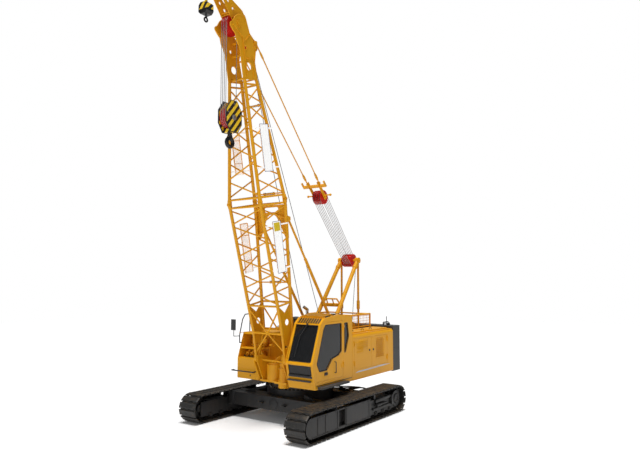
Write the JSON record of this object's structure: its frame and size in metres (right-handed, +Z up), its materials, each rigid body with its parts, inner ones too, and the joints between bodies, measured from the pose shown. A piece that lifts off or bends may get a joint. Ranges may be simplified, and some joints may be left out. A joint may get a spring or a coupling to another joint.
{
  "type": "crawler crane",
  "caption": "Tracked crane with a swinging upper, lattice boom held by pendants and an A-frame, hanging hook blocks, cab and engine house.",
  "frame": {"origin": "on the ground under the centre of the slewing ring", "axes": "+Z up, the machine faces -Y, +X is its left, the cab side"},
  "size_m": [4.83, 8.1873, 13.1221],
  "materials": {
    "body_yellow": "semi-gloss machine paint",
    "undercarriage_charcoal": "satin charcoal paint",
    "track_steel": "charcoal steel with a brown tint of soil",
    "machined_steel": "greased machined steel",
    "tinted_glass": "dark tinted safety glass",
    "cab_plastic": "grained dark plastic",
    "engine_iron": "painted cast iron",
    "counterweight_charcoal": "satin charcoal paint",
    "bright_steel": "bright steel pipe",
    "black_plastic": "moulded black plastic",
    "rope_steel": "laid steel wire rope",
    "sheave_red": "semi-gloss red paint",
    "sign_white": "blank white enamel plate",
    "hazard_paint": "yellow and black diagonal stripes",
    "hook_black": "black enamel on forged steel"
  },
  "bodies": {
    "undercarriage": {"carbody": "undercarriage_charcoal", "slewing_ring": "machined_steel", "track_left": "track_steel", "track_right": "track_steel", "idlers": "undercarriage_charcoal", "sprockets": "undercarriage_charcoal", "track_rollers": "undercarriage_charcoal", "track_frame_left": "undercarriage_charcoal", "track_frame_right": "undercarriage_charcoal", "travel_drives": "undercarriage_charcoal"},
    "upper": {"deck_frame": "body_yellow", "swing_gearbox": "body_yellow", "cab_shell": "body_yellow", "cab_glass": "tinted_glass", "cab_interior": "cab_plastic", "house_left": "body_yellow", "engine_block": "engine_iron", "house_right": "body_yellow", "counterweight": "counterweight_charcoal", "gantry": "body_yellow", "exhaust": "bright_steel", "handrails": "body_yellow", "mirror": "black_plastic", "steps": "black_plastic", "rear_rail": "black_plastic", "roof_guard": "body_yellow"},
    "cab_door": {"cab_door": "body_yellow", "cab_door_glass": "tinted_glass"},
    "engine_door_front": {"engine_door_front": "body_yellow"},
    "engine_door_rear": {"engine_door_rear": "body_yellow"},
    "main_drum": {"main_drum": "rope_steel"},
    "aux_drum": {"aux_drum": "rope_steel"},
    "luffing_drum": {"luffing_drum": "rope_steel"},
    "gantry_sheaves": {"gantry_sheaves": "sheave_red"},
    "boom": {"boom_foot": "body_yellow", "boom_base_section": "body_yellow", "boom_top_section": "body_yellow", "boom_portal": "body_yellow", "boom_head": "body_yellow", "tip_extension": "body_yellow", "pendants": "body_yellow", "bridle": "body_yellow", "backstops": "body_yellow", "boom_signs": "sign_white"},
    "head_sheaves": {"head_sheaves": "sheave_red"},
    "guide_sheaves": {"guide_sheaves": "sheave_red"},
    "tip_sheave": {"tip_sheave": "sheave_red"},
    "bridle_sheaves": {"bridle_sheaves": "sheave_red"},
    "main_block": {"main_block": "hazard_paint", "main_falls": "rope_steel"},
    "main_block_sheaves": {"main_block_sheaves": "sheave_red"},
    "main_hook": {"main_hook": "hook_black"},
    "aux_block": {"aux_block": "hazard_paint", "aux_fall": "rope_steel"},
    "aux_hook": {"aux_hook": "hook_black"}
  },
  "joints": [
    {"name": "swing", "type": "hinge", "parent": "undercarriage", "child": "upper", "pos_m": [0, 0, 1.2], "axis": [0, 0, 1], "continuous": true},
    {"name": "boom_luff", "type": "hinge", "parent": "upper", "child": "boom", "pos_m": [0, -1.433, 1.938], "axis": [1, 0, 0], "range_deg": [0, 49]},
    {"name": "cab_door_hinge", "type": "hinge", "parent": "upper", "child": "cab_door", "pos_m": [1.754, -0.084, 1.7], "axis": [0, 0, 1], "range_deg": [0, 95]},
    {"name": "engine_door_front_hinge", "type": "hinge", "parent": "upper", "child": "engine_door_front", "pos_m": [1.754, 0.575, 1.7], "axis": [0, 0, -1], "range_deg": [0, 100]},
    {"name": "engine_door_rear_hinge", "type": "hinge", "parent": "upper", "child": "engine_door_rear", "pos_m": [1.754, 2.69, 1.7], "axis": [0, 0, 1], "range_deg": [0, 100]},
    {"name": "gantry_sheaves_turn", "type": "hinge", "parent": "upper", "child": "gantry_sheaves", "pos_m": [0, 2.985, 5.07], "axis": [1, 0, 0], "continuous": true},
    {"name": "head_sheaves_turn", "type": "hinge", "parent": "boom", "child": "head_sheaves", "pos_m": [0, -3.3809, 11.82803], "axis": [1, 0, 0], "continuous": true},
    {"name": "guide_sheaves_turn", "type": "hinge", "parent": "boom", "child": "guide_sheaves", "pos_m": [0, -2.68453, 11.31141], "axis": [1, 0, 0], "continuous": true},
    {"name": "tip_sheave_turn", "type": "hinge", "parent": "boom", "child": "tip_sheave", "pos_m": [0, -4.19775, 12.91209], "axis": [1, 0, 0], "continuous": true},
    {"name": "bridle_sheaves_turn", "type": "hinge", "parent": "boom", "child": "bridle_sheaves", "pos_m": [0, 1.12771, 7.22779], "axis": [1, 0, 0], "continuous": true},
    {"name": "main_block_hang", "type": "hinge", "parent": "boom", "child": "main_block", "pos_m": [0, -3.3809, 11.82803], "axis": [1, 0, 0], "range_deg": [-50, 0]},
    {"name": "main_block_sheaves_turn", "type": "hinge", "parent": "main_block", "child": "main_block_sheaves", "pos_m": [0, -3.3809, 9.06], "axis": [1, 0, 0], "continuous": true},
    {"name": "main_hook_swivel", "type": "hinge", "parent": "main_block", "child": "main_hook", "pos_m": [0, -3.3809, 8.345], "axis": [0, 0, 1], "continuous": true},
    {"name": "aux_block_hang", "type": "hinge", "parent": "boom", "child": "aux_block", "pos_m": [0, -4.19775, 12.91209], "axis": [1, 0, 0], "range_deg": [-50, 0]},
    {"name": "aux_hook_swivel", "type": "hinge", "parent": "aux_block", "child": "aux_hook", "pos_m": [0, -4.38925, 11.655], "axis": [0, 0, 1], "continuous": true},
    {"name": "main_drum_turn", "type": "hinge", "parent": "upper", "child": "main_drum", "pos_m": [0, 0.33, 1.96], "axis": [1, 0, 0], "continuous": true},
    {"name": "aux_drum_turn", "type": "hinge", "parent": "upper", "child": "aux_drum", "pos_m": [0, 1.78, 2.01], "axis": [1, 0, 0], "continuous": true},
    {"name": "luffing_drum_turn", "type": "hinge", "parent": "upper", "child": "luffing_drum", "pos_m": [0, 2.64, 2.56], "axis": [1, 0, 0], "continuous": true}
  ],
  "couplings": [
    {"joint": "main_block_hang", "follows": "boom_luff", "ratio": -1},
    {"joint": "aux_block_hang", "follows": "boom_luff", "ratio": -1}
  ]
}
